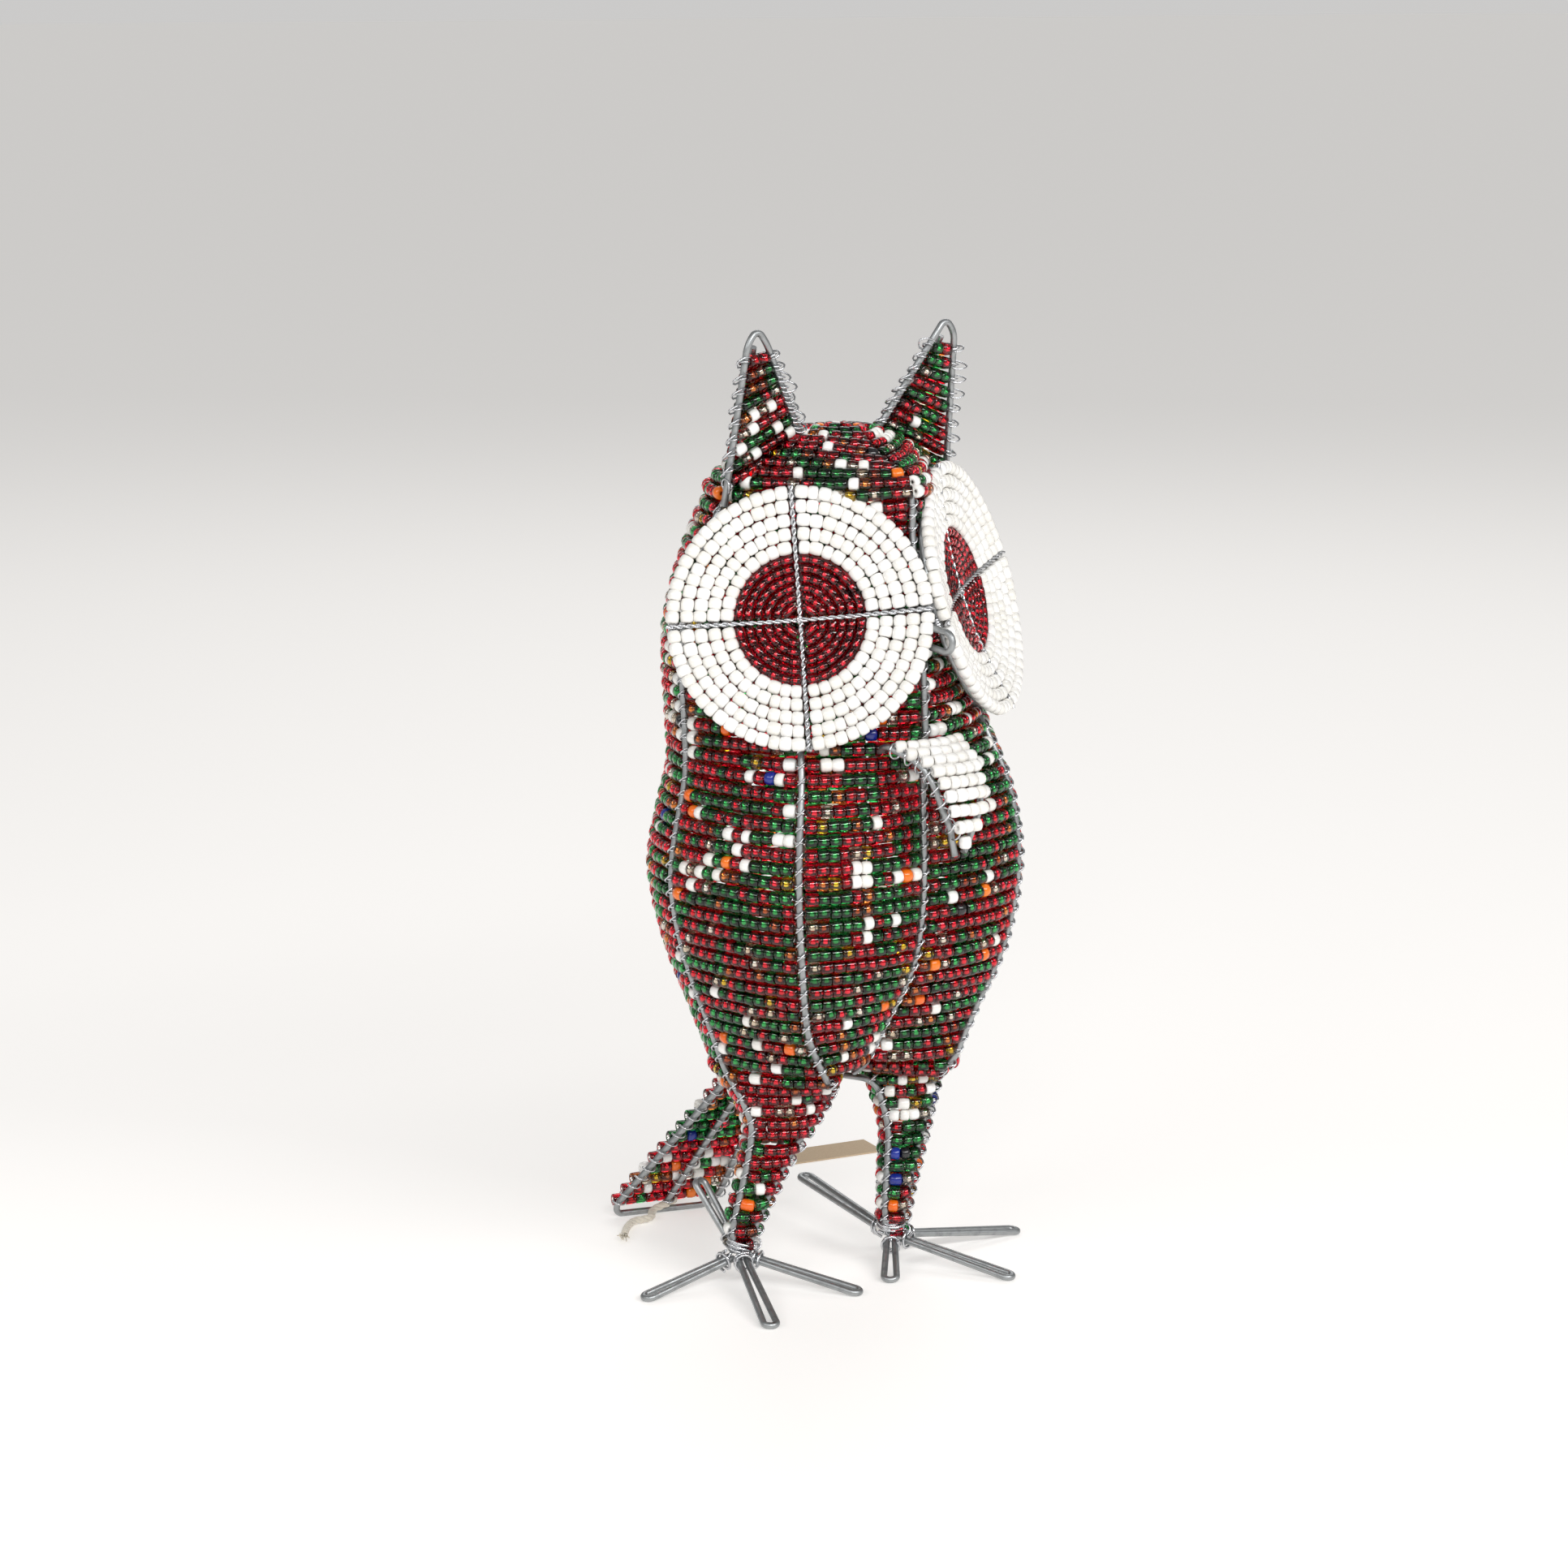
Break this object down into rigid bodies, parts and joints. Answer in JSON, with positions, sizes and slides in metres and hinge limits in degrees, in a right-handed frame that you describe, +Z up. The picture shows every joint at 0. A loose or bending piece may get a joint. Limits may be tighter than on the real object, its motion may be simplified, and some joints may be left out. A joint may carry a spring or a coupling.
{
  "type": "beaded wire owl figure",
  "caption": "Standing owl figure: a wire cage of ribs carrying rows of glass seed beads, with disc eyes, hooked beak, pointed ears, hairpin wire toes and a fan tail.",
  "frame": {"origin": "on the floor under the middle of the owl, measured without its tag and twine", "axes": "+Z up, the owl faces -Y, its right side is -X"},
  "size_m": [0.1481, 0.1637, 0.2823],
  "materials": {
    "frame_wire": "galvanised, dull zinc grey",
    "binding_wire": "fine bright zinc-coated wire",
    "red_glass": "transparent red glass beads with silver-lined holes",
    "green_glass": "transparent green glass beads with silver-lined holes",
    "white_glass": "opaque white glass beads, glossy",
    "amber_glass": "transparent amber-brown glass beads",
    "clear_glass": "clear champagne glass beads with silver-lined holes",
    "orange_glass": "opaque orange glass beads, glossy",
    "cotton_twine": "twisted undyed cotton",
    "kraft_paper": "brown kraft card, matte"
  },
  "bodies": {
    "root": {"back_rib": "frame_wire", "beak_frame": "frame_wire", "beak_strands": "white_glass", "belly_strands_back_to_left_back": "red_glass", "belly_strands_front_to_right_front": "red_glass", "belly_strands_left_back_to_left_side": "red_glass", "belly_strands_left_front_to_front": "red_glass", "belly_strands_left_side_to_left_front": "red_glass", "belly_strands_right_back_to_back": "red_glass", "belly_strands_right_front_to_right_side": "red_glass", "belly_strands_right_side_to_right_back": "red_glass", "brow_hairpin": "frame_wire", "crown_ring": "frame_wire", "crown_strands": "white_glass", "front_rib": "frame_wire", "head_strands_back_to_left_back": "red_glass", "head_strands_front_to_right_front": "red_glass", "head_strands_left_back_to_left_side": "red_glass", "head_strands_left_front_to_front": "red_glass", "head_strands_left_side_to_left_front": "red_glass", "head_strands_right_back_to_back": "red_glass", "head_strands_right_front_to_right_side": "red_glass", "head_strands_right_side_to_right_back": "red_glass", "left_back_rib": "frame_wire", "left_ear_frame": "frame_wire", "left_ear_strands": "red_glass", "left_eye_rim": "frame_wire", "left_eye_spokes": "binding_wire", "left_eye_white_strands": "white_glass", "left_foot_lashing": "binding_wire", "left_foot_toes": "frame_wire", "left_front_rib": "frame_wire", "left_inner_leg_wire": "frame_wire", "left_leg_strands": "white_glass", "left_pupil_strands": "red_glass", "left_side_rib": "frame_wire", "paper_tag": "kraft_paper", "rib_lashings": "binding_wire", "right_back_rib": "frame_wire", "right_ear_frame": "frame_wire", "right_ear_strands": "red_glass", "right_eye_rim": "frame_wire", "right_eye_spokes": "binding_wire", "right_eye_white_strands": "white_glass", "right_foot_lashing": "binding_wire", "right_foot_toes": "frame_wire", "right_front_rib": "frame_wire", "right_inner_leg_wire": "frame_wire", "right_leg_strands": "white_glass", "right_pupil_strands": "red_glass", "right_side_rib": "frame_wire", "tag_twine": "cotton_twine", "tail_centre_wire": "frame_wire", "tail_frame": "frame_wire", "tail_strands": "green_glass", "twine_end": "cotton_twine", "twine_knot": "cotton_twine"}
  },
  "joints": []
}
